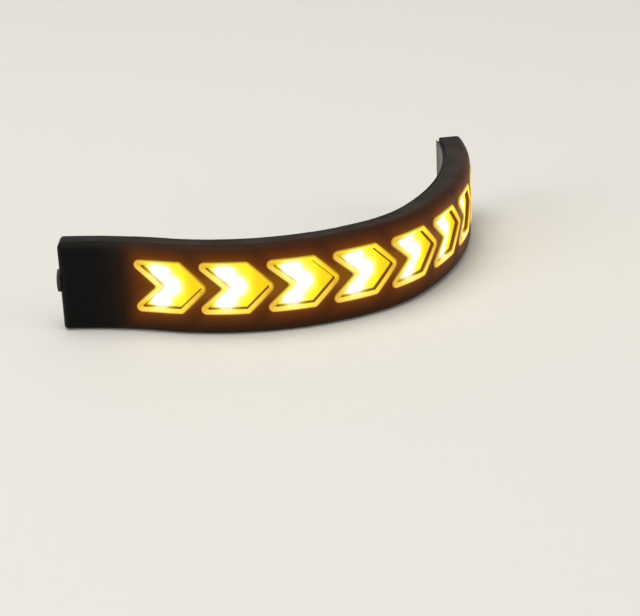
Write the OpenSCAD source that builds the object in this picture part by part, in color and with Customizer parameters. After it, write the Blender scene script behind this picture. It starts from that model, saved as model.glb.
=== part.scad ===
// Flexible daytime running light strip, bent as it stands in the photograph.
// All sizes are in millimetres. Z is up, X runs to the viewer's right, Y runs away from the viewer.
// A place on the strip is given by three numbers: s along the front face from the left end,
// d into the strip from the front face, and z above the surface that it stands on.

/* [Strip] */
// overall length of the strip, measured along its front face
strip_length = 175; // [174:0.5:178]
// height of the strip as it stands on its long edge
strip_height = 25; // [24:0.5:28]
// depth of the housing from its front face to its open back
housing_depth = 7; // [6.6:0.1:9]
// thickness of the front wall that holds the windows
front_wall = 1.6; // [1.2:0.1:1.8]
// thickness of the top and bottom walls
side_wall = 2; // [1.6:0.1:2.4]
// thickness of the two end walls
end_wall = 3; // [2:0.1:3.4]
// radius of the two long front edges
front_radius = 2.6; // [1:0.1:3]
// radius of the two long back edges
back_radius = 0.6; // [0.2:0.1:1]
// radius of the upright front edge at each end
end_radius = 2.2; // [1:0.1:2.6]
// radius of the four corners seen from the front
corner_radius = 1.8; // [0.5:0.1:2.4]

/* [Bend] */
// radius of the first arc, which bends towards the viewer from a left end that runs along X
arc_1_radius = 97.5; // [90:2.5:110]
// direction of the strip where the first arc ends: run along X
joint_1_run = 24; // [24:1:30]
// direction of the strip where the first arc ends: rise along Y
joint_1_rise = -7; // [-7:1:-5]
// radius of the second arc, which bends away from the viewer, as the others do
arc_2_radius = 71.25; // [68.75:1.25:73.75]
// direction where the second arc ends: run along X
joint_2_run = 527; // [500:1:560]
// direction where the second arc ends: rise along Y
joint_2_rise = 336; // [310:1:340]
// radius of the third arc
arc_3_radius = 46.25; // [43.75:1.25:50]
// direction where the third arc ends: run along X
joint_3_run = 336; // [320:1:350]
// direction where the third arc ends: rise along Y
joint_3_rise = 527; // [500:1:560]
// radius of the fourth arc, which runs on to the right end
arc_4_radius = 88.75; // [80:1.25:110]

/* [Windows] */
// number of arrow windows
window_count = 8; // [6:1:8]
// distance from one arrow window to the next, along the front face
window_pitch = 18; // [17.6:0.1:18.2]
// distance from the left end to the middle of the first arrow window
first_window = 31.8; // [31.4:0.1:32.4]
// height of the middle of the windows, as a share of the strip's height
window_height_share = 0.54; // [0.5:0.005:0.545]
// height of an arrow window, as a share of the strip's height
arrow_height_share = 0.6; // [0.56:0.005:0.61]
// how far the shoulders stand to the right of the middle
arrow_shoulder = 1.85; // [1.4:0.05:2]
// how far the unrounded point stands to the right of the middle
arrow_point = 9.57; // [9.2:0.01:9.7]
// how far the notch stands to the left of the middle
arrow_notch = 5.3; // [5:0.1:5.6]
// how far the unrounded tails stand to the left of the middle
arrow_tail = 13.5; // [13:0.1:13.8]
// radius of the tails
tail_radius = 1.5; // [1.2:0.1:1.7]
// radius of the shoulders
shoulder_radius = 1.2; // [0.8:0.1:1.6]
// radius of the point
point_radius = 2; // [1.4:0.1:2.4]
// radius of the notch
notch_radius = 0.7; // [0.5:0.1:1.4]

/* [Lenses] */
// how far the rim of a lens stands proud of the front face
rim_proud = 0.3; // [0.1:0.05:0.5]
// width of the rim of a lens
rim_width = 1.45; // [1.2:0.05:1.6]
// depth of the sunk floor of a lens below the front face
floor_depth = 1; // [0.5:0.1:1]
// width of the hidden flange behind the front wall
flange_width = 0.5; // [0.3:0.05:0.55]
// thickness of the hidden flange
flange_thickness = 0.8; // [0.5:0.1:0.9]
// gap between a lens and the edge of its window
lens_gap = 0.05; // [0.03:0.01:0.1]

/* [Light mask and board] */
// gap between layers that lie on each other
layer_gap = 0.05; // [0.03:0.01:0.08]
// distance from the front face to the front of the circuit board
board_depth = 4; // [3.9:0.05:4.2]
// thickness of the flexible circuit board
board_thickness = 0.3; // [0.2:0.05:0.4]
// gap from the board and the mask to the top and bottom walls
edge_gap = 0.15; // [0.1:0.05:0.3]
// how far a light chamber is set in from the outline of its window
chamber_inset = 1.2; // [1:0.05:1.25]
// length of the solid filling between the left end wall and the board
cable_pocket = 4.2; // [3.8:0.1:4.6]

/* [Light sources and parts on the board] */
// length of a light emitting diode package
led_length = 3.5; // [3.4:0.05:3.5]
// width of a light emitting diode package
led_width = 2.8; // [2.6:0.05:2.8]
// height of a light emitting diode package
led_height = 0.7; // [0.6:0.05:0.9]
// radius of the round light opening of a package
led_dish_radius = 1.1; // [0.8:0.05:1.2]
// depth of the round light opening of a package
led_dish_depth = 0.25; // [0.15:0.05:0.4]
// length of a resistor
resistor_length = 2; // [1.6:0.1:2.2]
// width of a resistor
resistor_width = 1.25; // [1:0.05:1.3]
// height of a resistor
resistor_height = 0.5; // [0.4:0.05:0.6]
// distance from the middle of a window to each of its two resistors
resistor_offset = 2.2; // [1.8:0.1:3]
// share of a row's free run that lies between the notch side and the amber package
amber_share = 0.6; // [0.45:0.05:0.65]
// share of a row's free run that lies between the white package and the point side
white_share = 0.15; // [0.1:0.05:0.2]
// gap from the upper and lower packages to the top and bottom of their light chamber
row_gap = 0.8; // [0.6:0.05:0.9]
// length of the flow chip
chip_length = 5; // [4.6:0.1:5.4]
// width of the flow chip
chip_width = 4; // [3.6:0.1:4.4]
// height of the flow chip
chip_height = 1.5; // [1.2:0.05:1.6]
// length of the capacitor
capacitor_length = 3.2; // [2.8:0.1:3.4]
// width of the capacitor
capacitor_width = 1.6; // [1.2:0.1:1.8]
// height of the capacitor
capacitor_height = 1.2; // [0.8:0.05:1.4]
// length of the diode
diode_length = 2.7; // [2.4:0.1:3]
// width of the diode
diode_width = 1.6; // [1.2:0.1:1.8]
// height of the diode
diode_height = 1.1; // [0.8:0.05:1.3]
// length of a solder pad
pad_length = 2.6; // [2:0.1:2.8]
// width of a solder pad
pad_width = 2.2; // [1.6:0.1:2.6]
// height of a solder pad
pad_height = 0.3; // [0.1:0.05:0.5]
// gap from the left end of the board to the pads, and from the pads to the chip
pad_margin = 0.8; // [0.7:0.05:1]
// gap left all round a part that stands in a pocket of the mask
pocket_gap = 0.3; // [0.2:0.05:0.35]

/* [Cable inlet] */
// wall left in front of and behind the sleeve in the end wall
sleeve_cover = 0.9; // [0.8:0.05:1.1]
// wall of the sleeve round the hole for the cable
sleeve_wall = 0.8; // [0.6:0.05:1]
// how far the lip outside the end wall stands out round the sleeve
lip_width = 0.5; // [0.3:0.05:0.6]
// thickness of the lip outside the end wall
lip_thickness = 0.8; // [0.6:0.1:1.2]
// gap between the sleeve and its hole
sleeve_gap = 0.05; // [0.03:0.01:0.1]

/* [Mounting tape] */
// thickness of the foam tape
tape_thickness = 0.8; // [0.5:0.1:1.2]
// how far the tape stays inside the edge of the housing
tape_inset = 1.2; // [1:0.1:2]
// thickness of the peel-off film
liner_thickness = 0.15; // [0.1:0.05:0.2]
// how far the film stands out past the edge of the tape
liner_overhang = 0.4; // [0.2:0.1:0.8]

/* [Hidden] */
windows = [for (k = [1:window_count]) k];
turn = 180 / PI;
// places that two arcs share are rounded, so that the arcs meet in exactly the same points
function rounded(v) = [round(v[0] * 1000) / 1000, round(v[1] * 1000) / 1000];
// each arc: the heading where it starts and ends, and its radius, which is negative for the first
joints = [0, atan2(joint_1_rise, joint_1_run), atan2(joint_2_rise, joint_2_run),
  atan2(joint_3_rise, joint_3_run)];
radii = [-arc_1_radius, arc_2_radius, arc_3_radius, arc_4_radius];
// where each arc starts: distance along the front face, x, y
starts = [for (i = 0, p = [0, 0, 0]; i < 4; p = i < 3 ? [p[0] + radii[i] * (joints[i + 1] - joints[i]) / turn,
  p[1] + radii[i] * (sin(joints[i + 1]) - sin(joints[i])),
  p[2] - radii[i] * (cos(joints[i + 1]) - cos(joints[i]))] : p, i = i + 1) p];
function arc_at(s) = s < starts[1][0] ? 0 : s < starts[2][0] ? 1 : s < starts[3][0] ? 2 : 3;
function arc_stop(i) = i < 3 ? starts[i + 1][0] : strip_length;
function heading_on(i, s) = joints[i] + (s - starts[i][0]) / radii[i] * turn;
function heading(s) = heading_on(arc_at(s), s);
function centre(i) = rounded([starts[i][1] - radii[i] * sin(joints[i]),
  starts[i][2] + radii[i] * cos(joints[i])]);
function spot_on(i, s, d) = let (h = heading_on(i, s)) centre(i) + (radii[i] - d) * [sin(h), -cos(h)];
function spot(s, d) = spot_on(arc_at(s), s, d);

// the middle of the strip's footprint becomes the origin
back_depth = housing_depth + layer_gap + tape_thickness + liner_thickness;
inlet_depth = housing_depth / 2;
sleeve_radius = housing_depth / 2 - sleeve_cover;
inlet_radius = sleeve_radius - sleeve_wall;
lip_radius = sleeve_radius + lip_width;
window_height = strip_height * window_height_share;
arrow_half_height = strip_height * arrow_height_share / 2;
probe = [for (i = [0:400]) strip_length * i / 400];
window_probe = [for (i = [0:400]) first_window - arrow_tail
  + (window_pitch * (window_count - 1) + arrow_tail + arrow_point) * i / 400];
liner_start = tape_inset - liner_overhang;
liner_probe = [for (i = [0:400]) liner_start + (strip_length - 2 * liner_start) * i / 400];
footprint = concat([for (s = probe) spot(s, 0)], [for (s = probe) spot(s, housing_depth)],
  [for (s = window_probe) spot(s, -rim_proud)], [for (s = liner_probe) spot(s, back_depth)],
  [spot(0, inlet_depth) - [lip_thickness, 0]]);
footprint_x = [for (p = footprint) p[0]];
footprint_y = [for (p = footprint) p[1]];
function half_up(v) = round(v * 50) / 100;
middle = [half_up(min(footprint_x) + max(footprint_x)), half_up(min(footprint_y) + max(footprint_y))];

// the arrow outline, grown or shrunk by a distance, with its corners rounded
arrow_corners = [[arrow_point, 0], [arrow_shoulder, arrow_half_height], [-arrow_tail, arrow_half_height],
  [-arrow_notch, 0], [-arrow_tail, -arrow_half_height], [arrow_shoulder, -arrow_half_height]];
arrow_radii = [point_radius, shoulder_radius, tail_radius, -notch_radius, tail_radius, shoulder_radius];
smallest_radius = 0.3;
corner_crease = 0.06;
// how far a cutter runs past what it cuts, and how far the bend can bow away over one window
past = 2;
bow = arrow_tail * arrow_tail / 2 / (min(arc_2_radius, arc_3_radius, arc_4_radius) - board_depth) + past / 2;
// how far the wedges of the arcs reach out in front of the strip and in behind it
wedge_out = 40;
wedge_in = 25;
corner_steps = 6;
function unit(v) = v / norm(v);
function side(a, b) = let (u = unit(b - a)) [u[1], -u[0]];
function cross_at(a, na, b, nb) = let (q = na[0] * nb[1] - na[1] * nb[0], ca = a * na, cb = b * nb)
  [(ca * nb[1] - cb * na[1]) / q, (na[0] * cb - nb[0] * ca) / q];
function grown(pts, g) = let (n = len(pts)) [for (i = [0:n - 1])
  let (p = pts[i], n1 = side(pts[(i + n - 1) % n], p), n2 = side(p, pts[(i + 1) % n]))
  cross_at(p + g * n1, n1, p + g * n2, n2)];
function near_turn(a) = a > 180 ? a - 360 : a < -180 ? a + 360 : a;
function fillet(p0, p1, p2, r) = let (u = unit(p0 - p1), v = unit(p2 - p1), w = acos(u * v),
  c = p1 + unit(u + v) * r / sin(w / 2), t0 = p1 + u * r / tan(w / 2) - c, t1 = p1 + v * r / tan(w / 2) - c,
  a0 = atan2(t0[1], t0[0]), da = near_turn(atan2(t1[1], t1[0]) - a0))
  [for (i = [0:corner_steps]) c + r * [cos(a0 + da * i / corner_steps), sin(a0 + da * i / corner_steps)]];
function arrow_outline(g) = let (pts = grown(arrow_corners, g), n = len(pts))
  [for (i = [0:n - 1]) each fillet(pts[(i + n - 1) % n], pts[i], pts[(i + 1) % n],
    max(smallest_radius, arrow_radii[i] > 0 ? arrow_radii[i] + g : -arrow_radii[i]))];

function window_at(k) = first_window + (k - 1) * window_pitch;
window_reach = arrow_tail + past;
lens_back = front_wall + layer_gap + flange_thickness;
mask_front = front_wall + layer_gap;
mask_back = board_depth - layer_gap;
board_back = board_depth + board_thickness;
fill_front = board_back + layer_gap;
inner_start = end_wall + layer_gap;
inner_end = strip_length - end_wall - layer_gap;
board_start = inner_start + cable_pocket;
board_end = inner_end - layer_gap;
led_back = board_depth - layer_gap;

// how far inside the outline of a window the chamber's slanting sides stand, measured along the strip
notch_run = (arrow_tail - arrow_notch) / arrow_half_height;
point_run = (arrow_point - arrow_shoulder) / arrow_half_height;
notch_side = -arrow_notch + chamber_inset * sqrt(1 + notch_run * notch_run);
point_side = arrow_point - chamber_inset * sqrt(1 + point_run * point_run);
// the upper and lower rows of packages, and the free run that two packages leave in such a row
led_row = arrow_half_height - chamber_inset - row_gap - led_width / 2;
row_left = notch_side - notch_run * (led_row - led_width / 2);
row_right = point_side - point_run * (led_row + led_width / 2);
row_free = row_right - row_left - 2 * led_length;
amber_gap = amber_share * row_free;
white_gap = white_share * row_free;
// places of the packages in a window: straight across from its middle, and above its middle
amber_tail = row_left + amber_gap + led_length / 2;
amber_places = [[notch_side + amber_gap + led_length / 2, 0], [amber_tail, led_row], [amber_tail, -led_row]];
white_tail = row_right - white_gap - led_length / 2;
white_places = [[point_side - point_run * led_width / 2 - white_gap - led_length / 2, 0],
  [white_tail, led_row], [white_tail, -led_row]];
// the place along the strip where the board stands a distance across from the middle of a window
function across(k, x) = let (r = radii[arc_at(window_at(k))])
  window_at(k) + r * asin(x / (r - board_depth)) / turn;
resistor_places = [-resistor_offset, resistor_offset];
// the light mask and the board leave the same gap to the walls
layer_low = side_wall + edge_gap;
layer_high = strip_height - side_wall - edge_gap;
resistor_row = (layer_low + window_height - arrow_half_height + chamber_inset) / 2;
// parts in the left end: along the strip, height of middle, length, width, height
pad_at = board_start + pad_margin + pad_length / 2;
chip_at = pad_at + pad_length / 2 + pad_margin + chip_length / 2;
chip = [chip_at, window_height, chip_length, chip_width, chip_height];
capacitor = [chip_at, (layer_low + window_height - chip_width / 2) / 2,
  capacitor_length, capacitor_width, capacitor_height];
diode = [chip_at, (layer_high + window_height + chip_width / 2) / 2, diode_length, diode_width, diode_height];
pads = [for (i = [-1:1]) [pad_at, window_height + i * strip_height / 5, pad_length, pad_width, pad_height]];

lens_colour = [1, 0.78, 0.3];
rubber = [0.06, 0.06, 0.065];
board_colour = [0.1, 0.3, 0.16];

// the wedge of one arc, from one place to another, seen from above
function edge_point(i, s, d) = (s == arc_stop(i) && i < 3) ? edge_point(i + 1, s, d)
  : s == starts[i][0] ? rounded(spot_on(i, s, d)) - middle : spot_on(i, s, d) - middle;
module wedge(i, lo, hi) {
  polygon([edge_point(i, lo, wedge_in), edge_point(i, lo, -wedge_out),
    edge_point(i, hi, -wedge_out), edge_point(i, hi, wedge_in)]);
}

// sweeps a flat shape, drawn in d and z, along the strip from one place to another
module sweep(from, to) {
  for (i = [0:3]) {
    lo = max(from, starts[i][0]);
    hi = min(to, arc_stop(i));
    c = centre(i) - middle;
    if (hi > lo + 0.001) intersection() {
      translate([c[0], c[1], 0]) rotate_extrude($fn = 360)
        translate([abs(radii[i]), 0]) mirror([radii[i] > 0 ? 1 : 0, 0]) children();
      translate([0, 0, -past]) linear_extrude(strip_height + 2 * past) wedge(i, lo, hi);
    }
  }
}

// puts an upright thing at a place on the front face, its Y axis running into the strip
module at(s) {
  p = spot(s, 0) - middle;
  translate([p[0], p[1], 0]) rotate([0, 0, heading(s)]) children();
}

// a slab that follows the bend, from one depth to another
module slab(from, to, d0, d1, z0, z1) {
  translate([0, 0, z0]) linear_extrude(z1 - z0)
    for (i = [0:3]) {
      lo = max(from, starts[i][0]);
      hi = min(to, arc_stop(i));
      c = centre(i) - middle;
      if (hi > lo + 0.001) intersection() {
        translate(c) difference() {
          circle(r = max(abs(radii[i] - d0), abs(radii[i] - d1)), $fn = 360);
          circle(r = min(abs(radii[i] - d0), abs(radii[i] - d1)), $fn = 360);
        }
        wedge(i, lo, hi);
      }
    }
}

// the arrow of one window as a straight block, standing from one depth to another
module arrow_block(k, g, d0, d1) {
  at(window_at(k)) translate([0, d1, window_height]) rotate([90, 0, 0])
    linear_extrude(d1 - d0) polygon(arrow_outline(g));
}

// the same arrow, following the bend
module arrow_layer(k, g, d0, d1) {
  intersection() {
    slab(window_at(k) - window_reach, window_at(k) + window_reach, d0, d1,
      side_wall / 2, strip_height - side_wall / 2);
    arrow_block(k, g, d0 - past, d1 + bow);
  }
}

// a box on the front of the board, standing forward from it
module on_board(s, z, length, width, height, grow) {
  at(s) translate([-length / 2 - grow, led_back - height - grow, z - width / 2 - grow])
    cube([length + 2 * grow, height + grow + (grow > 0 ? past : 0), width + 2 * grow]);
}

module housing_profile() {
  union() {
    translate([front_radius, 0]) square([housing_depth - front_radius - back_radius, strip_height]);
    translate([0, front_radius]) square([housing_depth - back_radius, strip_height - 2 * front_radius]);
    translate([front_radius, back_radius]) square([housing_depth - front_radius, strip_height - 2 * back_radius]);
    for (z = [front_radius, strip_height - front_radius]) translate([front_radius, z])
      circle(r = front_radius, $fn = 48);
    for (z = [back_radius, strip_height - back_radius]) translate([housing_depth - back_radius, z])
      circle(r = back_radius, $fn = 48);
  }
}

// the corner that a rounding of a given radius cuts off; it meets both faces at a slight angle
module corner_cut(radius) {
  difference() {
    translate([-past, -past]) square([radius + past, radius + past]);
    translate([radius, radius]) circle(r = radius + corner_crease, $fn = 48);
  }
}

// what is cut off to round the ends: the upright front edge and the corners seen from the front
module end_cutter(right) {
  at(right ? strip_length : 0) mirror([right ? 1 : 0, 0, 0]) {
    translate([0, 0, -past]) linear_extrude(strip_height + 2 * past) corner_cut(end_radius);
    for (top = [0, 1]) translate([0, housing_depth + past, top * strip_height]) mirror([0, 0, top])
      rotate([90, 0, 0]) linear_extrude(housing_depth + 2 * past) corner_cut(corner_radius);
  }
}

module inlet_hole(radius, s0, s1) {
  at(0) translate([s0, inlet_depth, window_height]) rotate([0, 90, 0])
    cylinder(r = radius, h = s1 - s0, $fn = 64);
}

module housing() color(rubber) difference() {
  sweep(0, strip_length) housing_profile();
  slab(end_wall, strip_length - end_wall, front_wall, housing_depth + past,
    side_wall, strip_height - side_wall);
  for (k = windows) arrow_block(k, 0, -past, front_wall + bow);
  end_cutter(false);
  end_cutter(true);
  inlet_hole(sleeve_radius + sleeve_gap, -past, end_wall + past);
}

module cable_gland() color(rubber) difference() {
  union() {
    inlet_hole(sleeve_radius, -lip_thickness / 2, end_wall);
    inlet_hole(lip_radius, -lip_thickness, 0);
  }
  inlet_hole(inlet_radius, -lip_thickness - past, end_wall + past);
}

module lens(k) color(lens_colour) difference() {
  union() {
    arrow_layer(k, -lens_gap, -rim_proud, lens_back);
    arrow_layer(k, flange_width, mask_front, lens_back);
  }
  arrow_layer(k, -rim_width, -rim_proud - past / 2, floor_depth);
}

module light_mask() color(rubber) difference() {
  slab(board_start, board_end, mask_front, mask_back, layer_low, layer_high);
  for (k = windows) {
    arrow_layer(k, flange_width + 2 * lens_gap, 0, lens_back + layer_gap);
    arrow_block(k, -chamber_inset, -past, board_depth + bow);
    for (x = resistor_places)
      on_board(window_at(k) + x, resistor_row, resistor_length, resistor_width, resistor_height, pocket_gap);
  }
  for (c = concat([chip, capacitor, diode], pads)) on_board(c[0], c[1], c[2], c[3], c[4], pocket_gap);
}

module circuit_board() color(board_colour)
  slab(board_start, board_end, board_depth, board_back, layer_low, layer_high);

module leds(k, places) for (p = places) difference() {
  on_board(across(k, p[0]), window_height + p[1], led_length, led_width, led_height, 0);
  at(across(k, p[0])) translate([0, led_back - led_height + led_dish_depth, window_height + p[1]])
    rotate([90, 0, 0]) cylinder(r = led_dish_radius, h = led_dish_depth + past, $fn = 48);
}

module amber_leds(k) color([1, 0.72, 0.2]) leds(k, amber_places);

module white_leds(k) color([0.95, 0.93, 0.8]) leds(k, white_places);

module resistors(k) color([0.15, 0.15, 0.16]) for (x = resistor_places)
  on_board(window_at(k) + x, resistor_row, resistor_length, resistor_width, resistor_height, 0);

module board_part(c) on_board(c[0], c[1], c[2], c[3], c[4], 0);

module flow_chip() color([0.12, 0.12, 0.13]) board_part(chip);

module capacitor_body() color([0.7, 0.56, 0.36]) board_part(capacitor);

module diode_body() color([0.14, 0.14, 0.15]) board_part(diode);

module solder_pads() color([0.78, 0.78, 0.8]) for (p = pads) board_part(p);

module back_fill() color([0.1, 0.1, 0.105]) union() {
  slab(inner_start, board_start - layer_gap, mask_front, (fill_front + housing_depth) / 2,
    side_wall + layer_gap, strip_height - side_wall - layer_gap);
  slab(inner_start, inner_end, fill_front, housing_depth,
    side_wall + layer_gap, strip_height - side_wall - layer_gap);
}

module foam_tape() color([0.22, 0.22, 0.23])
  slab(tape_inset, strip_length - tape_inset, housing_depth + layer_gap,
    housing_depth + layer_gap + tape_thickness, tape_inset, strip_height - tape_inset);

module release_liner() color([0.3, 0.3, 0.31])
  slab(liner_start, strip_length - liner_start, back_depth - liner_thickness, back_depth,
    tape_inset - liner_overhang, strip_height - tape_inset + liner_overhang);

housing();
cable_gland();
for (k = windows) {
  lens(k);
  amber_leds(k);
  white_leds(k);
  resistors(k);
}
light_mask();
circuit_board();
flow_chip();
capacitor_body();  // capacitor
diode_body();  // diode
solder_pads();
back_fill();
foam_tape();
release_liner();
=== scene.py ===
# %% [markdown]
# A flexible daytime running light, lit amber
#
# The lamp is a strip of black silicone rubber with a row of arrow windows. It stands on its long
# lower edge and bends away from the viewer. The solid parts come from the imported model, which is
# loaded first and never changed. This lesson gives each part its finish, puts a finely made lens
# in each window, and adds the phosphor, metal ends and legs of the small parts on the board.

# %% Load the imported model
import math

import bmesh
import bpy
from mathutils import Matrix, Vector
from mathutils.geometry import delaunay_2d_cdt


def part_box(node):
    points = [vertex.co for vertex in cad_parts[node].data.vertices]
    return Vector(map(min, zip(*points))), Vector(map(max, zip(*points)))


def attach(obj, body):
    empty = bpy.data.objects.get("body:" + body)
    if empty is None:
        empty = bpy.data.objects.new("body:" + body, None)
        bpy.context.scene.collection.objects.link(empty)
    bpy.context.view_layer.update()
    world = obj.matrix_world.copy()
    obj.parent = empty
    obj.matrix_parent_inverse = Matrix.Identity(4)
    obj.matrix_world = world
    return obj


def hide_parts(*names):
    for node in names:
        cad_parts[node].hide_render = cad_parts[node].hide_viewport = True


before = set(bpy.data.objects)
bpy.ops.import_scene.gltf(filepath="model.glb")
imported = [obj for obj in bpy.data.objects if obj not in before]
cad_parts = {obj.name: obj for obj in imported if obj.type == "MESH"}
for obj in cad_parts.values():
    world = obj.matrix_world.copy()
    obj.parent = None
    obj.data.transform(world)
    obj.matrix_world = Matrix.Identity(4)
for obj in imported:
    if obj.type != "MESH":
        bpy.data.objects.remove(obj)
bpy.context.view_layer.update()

MM = 0.001

# %% [markdown]
# The camera comes first. A long lens about 58 cm away looks down on the strip by 23 degrees, and
# leans a little to one side. The place that it looks at is given in the part's own frame, turned by
# a small angle about the upright axis, because the strip doesn't stand quite square to the camera.

# %% The camera
LOOK_DOWN = math.radians(22.741)
LEAN = math.radians(2.63)
SIDEWAYS = math.radians(-1.62)
DISTANCE = 578.54 * MM
TARGET = Vector((11.777, 0, -11.713)) * MM
FOCAL_LENGTH = 112.5
SENSOR_WIDTH = 36
NEAREST = 50 * MM

ahead = Vector((0, math.cos(LOOK_DOWN), -math.sin(LOOK_DOWN)))
level_up = Vector((0, math.sin(LOOK_DOWN), math.cos(LOOK_DOWN)))
across = Vector((1, 0, 0))
right = math.cos(LEAN) * across - math.sin(LEAN) * level_up
up = math.sin(LEAN) * across + math.cos(LEAN) * level_up
pose = Matrix((right, up, -ahead)).transposed().to_4x4()
pose.translation = TARGET - DISTANCE * ahead

camera = bpy.data.objects.new("camera", bpy.data.cameras.new("camera"))
bpy.context.scene.collection.objects.link(camera)
camera.matrix_world = Matrix.Rotation(-SIDEWAYS, 4, "Z") @ pose
camera.data.sensor_fit = "HORIZONTAL"
camera.data.sensor_width = SENSOR_WIDTH
camera.data.lens = FOCAL_LENGTH
camera.data.clip_start = NEAREST
bpy.context.scene.camera = camera
print("camera at", [round(v, 3) for v in camera.location])

# %% [markdown]
# A few helpers come next, because every finish and every tree of nodes needs them. A colour is
# written as its sRGB hex value, as a paint shop would, and turned to the linear light that the
# renderer works in. One function adds a node, and another feeds the inputs of a node.

# %% Colours and nodes
def colour(code):
    """The linear colour of an sRGB hex value such as #F2C14E."""
    parts = [int(code[i:i + 2], 16) / 255 for i in (1, 3, 5)]
    return tuple(c / 12.92 if c <= 0.04045 else ((c + 0.055) / 1.055) ** 2.4 for c in parts) + (1.0,)


def feed(node, inputs):
    """Gives inputs of a node a plain value each, or the node or output to link."""
    for socket, value in inputs.items():
        if isinstance(value, bpy.types.Node):
            value = value.outputs[0]
        if isinstance(value, bpy.types.NodeSocket):
            node.id_data.links.new(value, node.inputs[socket])
        else:
            node.inputs[socket].default_value = value


def add(tree, kind, inputs=None, **settings):
    """Adds one node with its settings and feeds its inputs."""
    made = tree.nodes.new(kind)
    for name, value in settings.items():
        setattr(made, name, value)
    feed(made, inputs or {})
    return made


def new_material(name):
    """A material with a bare shader: returns it, its tree, the shader and the place of a point."""
    material = bpy.data.materials.new(name)
    material.use_nodes = True
    tree = material.node_tree
    return material, tree, tree.nodes["Principled BSDF"], add(tree, "ShaderNodeTexCoord").outputs["Object"]


def new_object(name, mesh):
    piece = bpy.data.objects.new(name, mesh)
    bpy.context.scene.collection.objects.link(piece)
    return piece


print("the floor's colour, linear:", [round(c, 3) for c in colour("#E4E2DE")])

# %% [markdown]
# The floor and the backdrop are one wide pale sheet that curves up behind the strip, as in a photo
# studio. Three large soft lamps and a pale sky light it evenly, at a level at which a colour comes
# out about as it is written. Where a low camera looks past the sheet, it sees the sky at the
# sheet's own brightness. The lamps don't reach the sheet's far edges, so there the sheet is lifted
# to the same brightness. Both are meant for the camera and for what mirrors or lets light through.
# A ray that only gathers soft light meets neither, so they don't change how the strip is lit.

# %% The studio
FLOOR_COLOUR = "#E4E2DE"
SHEET_HALF_WIDTH = 1.7
SHEET_FRONT = -1.7
SHEET_BACK = 0.9
SHEET_CURVE = 0.45
CURVE_STEPS = 16
SHEET_TOP = 1.9
LIT_REACH = 0.55
FAR_LIFT = 0.34


def seen_ray(tree):
    """Nodes for 1 on a ray that the camera, a mirror or glass sees, and 0 on one that only gives light."""
    ray = add(tree, "ShaderNodeLightPath").outputs
    seen = ray["Is Camera Ray"]
    for kind in ("Is Glossy Ray", "Is Transmission Ray"):
        seen = add(tree, "ShaderNodeMath", {0: seen, 1: ray[kind]}, operation="MAXIMUM")
    return seen


sheet_profile = [(SHEET_FRONT, 0.0), (SHEET_BACK, 0.0)]
for step in range(1, CURVE_STEPS + 1):
    angle = math.radians(90 * step / CURVE_STEPS)
    sheet_profile.append((SHEET_BACK + SHEET_CURVE * math.sin(angle), SHEET_CURVE * (1 - math.cos(angle))))
sheet_profile.append((SHEET_BACK + SHEET_CURVE, SHEET_TOP))
sheet_mesh = bpy.data.meshes.new("studio_sheet")
sheet_mesh.from_pydata(
    [(x, y, z) for y, z in sheet_profile for x in (-SHEET_HALF_WIDTH, SHEET_HALF_WIDTH)], [],
    [(2 * i, 2 * i + 1, 2 * i + 3, 2 * i + 2) for i in range(len(sheet_profile) - 1)])
sheet_mesh.shade_smooth()
paper, tree, shader, where = new_material("matt studio paper")
away = add(tree, "ShaderNodeVectorMath", {0: where}, operation="LENGTH").outputs["Value"]
far = add(tree, "ShaderNodeMapRange", {"Value": away, "From Min": LIT_REACH, "From Max": SHEET_HALF_WIDTH,
                                       "To Max": FAR_LIFT}, interpolation_type="SMOOTHSTEP")
lift = add(tree, "ShaderNodeMath", {0: far, 1: seen_ray(tree)}, operation="MULTIPLY")
feed(shader, {"Base Color": colour(FLOOR_COLOUR), "Roughness": 0.75,
              "Emission Color": colour(FLOOR_COLOUR), "Emission Strength": lift})
sheet_mesh.materials.append(paper)
new_object("studio_sheet", sheet_mesh)


def soft_lamp(name, place, size, watts, tint):
    """A wide lamp that looks at the strip, with its place and its size in metres."""
    lamp = bpy.data.lights.new(name, "AREA")
    lamp.shape = "RECTANGLE"
    lamp.size, lamp.size_y = size
    lamp.energy = watts
    lamp.color = colour(tint)[:3]
    holder = new_object(name, lamp)
    holder.location = place
    holder.rotation_mode = "QUATERNION"
    holder.rotation_quaternion = (-Vector(place)).to_track_quat("-Z", "Y")


soft_lamp("lamp_above", (-0.2, -0.1, 1.3), (1.2, 1.0), 11.0, "#FFFDF8")
soft_lamp("lamp_left", (-1.2, -0.9, 0.7), (0.8, 0.9), 6.5, "#FAFCFF")
soft_lamp("lamp_right", (1.3, -0.5, 0.6), (0.7, 0.8), 3.5, "#FFF6EA")

SKY_LIGHT = 0.42
SKY_SEEN = 0.78
world = bpy.data.worlds.new("pale room")
world.use_nodes = True
seen = add(world.node_tree, "ShaderNodeMapRange", {
    "Value": seen_ray(world.node_tree), "To Min": SKY_LIGHT, "To Max": SKY_SEEN})
feed(world.node_tree.nodes["Background"], {"Color": colour("#F4F1EC"), "Strength": seen})
bpy.context.scene.world = world
bpy.context.scene.view_settings.view_transform = "Standard"

# %% [markdown]
# The front face of the strip follows four arcs that run into each other without a kink. The first
# bends towards the viewer and the other three away. The same few numbers as in the part's source
# give the heading and the radius of each arc, so that a lens or a glow lands where its window is.

# %% The bend of the strip
STRIP_LENGTH = 175 * MM
# the heading at the start of each arc, from the same rises and runs as in the source
JOINTS = [0, math.atan2(-7, 24), math.atan2(336, 527), math.atan2(527, 336)]
RADII = [-97.5 * MM, 71.25 * MM, 46.25 * MM, 88.75 * MM]
ARCS = range(len(RADII))
MIDDLE = Vector((56.55, 37.64)) * MM

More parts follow.
